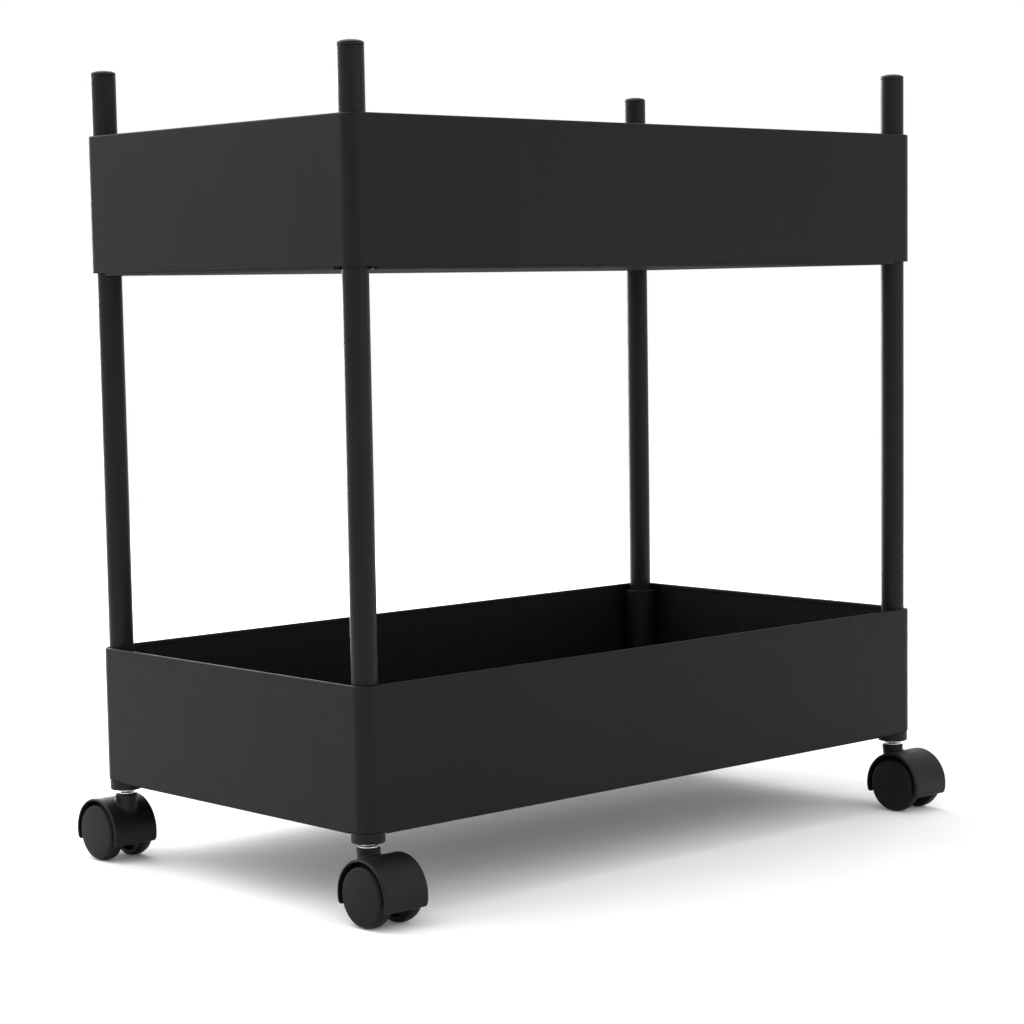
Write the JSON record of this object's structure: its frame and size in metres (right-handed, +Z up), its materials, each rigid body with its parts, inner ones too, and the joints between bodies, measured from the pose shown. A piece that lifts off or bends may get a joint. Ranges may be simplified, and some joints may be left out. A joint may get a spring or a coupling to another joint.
{
  "type": "two-tier shelf cart",
  "caption": "Wheeled shelf cart: deep sheet-steel trays on round corner posts, carried by twin-wheel swivel casters.",
  "frame": {"origin": "on the floor under the middle of the trays", "axes": "+X along the long side of the trays, +Z up, the front long side faces -Y"},
  "size_m": [0.5484, 0.34, 0.5448],
  "materials": {
    "tray_coat": "dark grey powder coat, satin, very fine texture, lighter along the folded edges",
    "post_coat": "dark grey powder coat on round tube, satin",
    "black_plastic": "moulded black plastic, semi matt",
    "hood_nylon": "moulded black nylon, satin",
    "wheel_nylon": "moulded dark grey nylon, satin, slightly scuffed tread",
    "zinc": "bright zinc plate"
  },
  "bodies": {
    "frame": {"lower_tray_wall": "tray_coat", "lower_tray_floor": "tray_coat", "upper_tray_wall": "tray_coat", "upper_tray_floor": "tray_coat", "lower_sleeve_front_left": "tray_coat", "lower_bush_front_left": "black_plastic", "upper_sleeve_front_left": "tray_coat", "upper_bush_front_left": "black_plastic", "lower_post_front_left": "post_coat", "upper_post_front_left": "post_coat", "post_cap_front_left": "black_plastic", "foot_plug_front_left": "black_plastic", "caster_washer_front_left": "zinc", "caster_stem_front_left": "zinc", "lower_sleeve_front_right": "tray_coat", "lower_bush_front_right": "black_plastic", "upper_sleeve_front_right": "tray_coat", "upper_bush_front_right": "black_plastic", "lower_post_front_right": "post_coat", "upper_post_front_right": "post_coat", "post_cap_front_right": "black_plastic", "foot_plug_front_right": "black_plastic", "caster_washer_front_right": "zinc", "caster_stem_front_right": "zinc", "lower_sleeve_rear_right": "tray_coat", "lower_bush_rear_right": "black_plastic", "upper_sleeve_rear_right": "tray_coat", "upper_bush_rear_right": "black_plastic", "lower_post_rear_right": "post_coat", "upper_post_rear_right": "post_coat", "post_cap_rear_right": "black_plastic", "foot_plug_rear_right": "black_plastic", "caster_washer_rear_right": "zinc", "caster_stem_rear_right": "zinc", "lower_sleeve_rear_left": "tray_coat", "lower_bush_rear_left": "black_plastic", "upper_sleeve_rear_left": "tray_coat", "upper_bush_rear_left": "black_plastic", "lower_post_rear_left": "post_coat", "upper_post_rear_left": "post_coat", "post_cap_rear_left": "black_plastic", "foot_plug_rear_left": "black_plastic", "caster_washer_rear_left": "zinc", "caster_stem_rear_left": "zinc"},
    "caster_front_left": {"caster_hood_front_left": "hood_nylon", "caster_axle_front_left": "zinc"},
    "outer_wheel_body_front_left": {"outer_wheel_front_left": "wheel_nylon"},
    "inner_wheel_body_front_left": {"inner_wheel_front_left": "wheel_nylon"},
    "caster_front_right": {"caster_hood_front_right": "hood_nylon", "caster_axle_front_right": "zinc"},
    "outer_wheel_body_front_right": {"outer_wheel_front_right": "wheel_nylon"},
    "inner_wheel_body_front_right": {"inner_wheel_front_right": "wheel_nylon"},
    "caster_rear_right": {"caster_hood_rear_right": "hood_nylon", "caster_axle_rear_right": "zinc"},
    "outer_wheel_body_rear_right": {"outer_wheel_rear_right": "wheel_nylon"},
    "inner_wheel_body_rear_right": {"inner_wheel_rear_right": "wheel_nylon"},
    "caster_rear_left": {"caster_hood_rear_left": "hood_nylon", "caster_axle_rear_left": "zinc"},
    "outer_wheel_body_rear_left": {"outer_wheel_rear_left": "wheel_nylon"},
    "inner_wheel_body_rear_left": {"inner_wheel_rear_left": "wheel_nylon"}
  },
  "joints": [
    {"name": "swivel_front_left", "type": "hinge", "parent": "frame", "child": "caster_front_left", "pos_m": [-0.2555, -0.133, 0.05], "axis": [0, 0, 1], "continuous": true},
    {"name": "outer_spin_front_left", "type": "hinge", "parent": "caster_front_left", "child": "outer_wheel_body_front_left", "pos_m": [-0.2555, -0.146, 0.02], "axis": [1, 0, 0], "continuous": true},
    {"name": "inner_spin_front_left", "type": "hinge", "parent": "caster_front_left", "child": "inner_wheel_body_front_left", "pos_m": [-0.2555, -0.146, 0.02], "axis": [1, 0, 0], "continuous": true},
    {"name": "swivel_front_right", "type": "hinge", "parent": "frame", "child": "caster_front_right", "pos_m": [0.2555, -0.133, 0.05], "axis": [0, 0, 1], "continuous": true},
    {"name": "outer_spin_front_right", "type": "hinge", "parent": "caster_front_right", "child": "outer_wheel_body_front_right", "pos_m": [0.2555, -0.146, 0.02], "axis": [1, 0, 0], "continuous": true},
    {"name": "inner_spin_front_right", "type": "hinge", "parent": "caster_front_right", "child": "inner_wheel_body_front_right", "pos_m": [0.2555, -0.146, 0.02], "axis": [1, 0, 0], "continuous": true},
    {"name": "swivel_rear_right", "type": "hinge", "parent": "frame", "child": "caster_rear_right", "pos_m": [0.2555, 0.133, 0.05], "axis": [0, 0, 1], "continuous": true},
    {"name": "outer_spin_rear_right", "type": "hinge", "parent": "caster_rear_right", "child": "outer_wheel_body_rear_right", "pos_m": [0.2555, 0.146, 0.02], "axis": [1, 0, 0], "continuous": true},
    {"name": "inner_spin_rear_right", "type": "hinge", "parent": "caster_rear_right", "child": "inner_wheel_body_rear_right", "pos_m": [0.2555, 0.146, 0.02], "axis": [1, 0, 0], "continuous": true},
    {"name": "swivel_rear_left", "type": "hinge", "parent": "frame", "child": "caster_rear_left", "pos_m": [-0.2555, 0.133, 0.05], "axis": [0, 0, 1], "continuous": true},
    {"name": "outer_spin_rear_left", "type": "hinge", "parent": "caster_rear_left", "child": "outer_wheel_body_rear_left", "pos_m": [-0.2555, 0.146, 0.02], "axis": [1, 0, 0], "continuous": true},
    {"name": "inner_spin_rear_left", "type": "hinge", "parent": "caster_rear_left", "child": "inner_wheel_body_rear_left", "pos_m": [-0.2555, 0.146, 0.02], "axis": [1, 0, 0], "continuous": true}
  ]
}
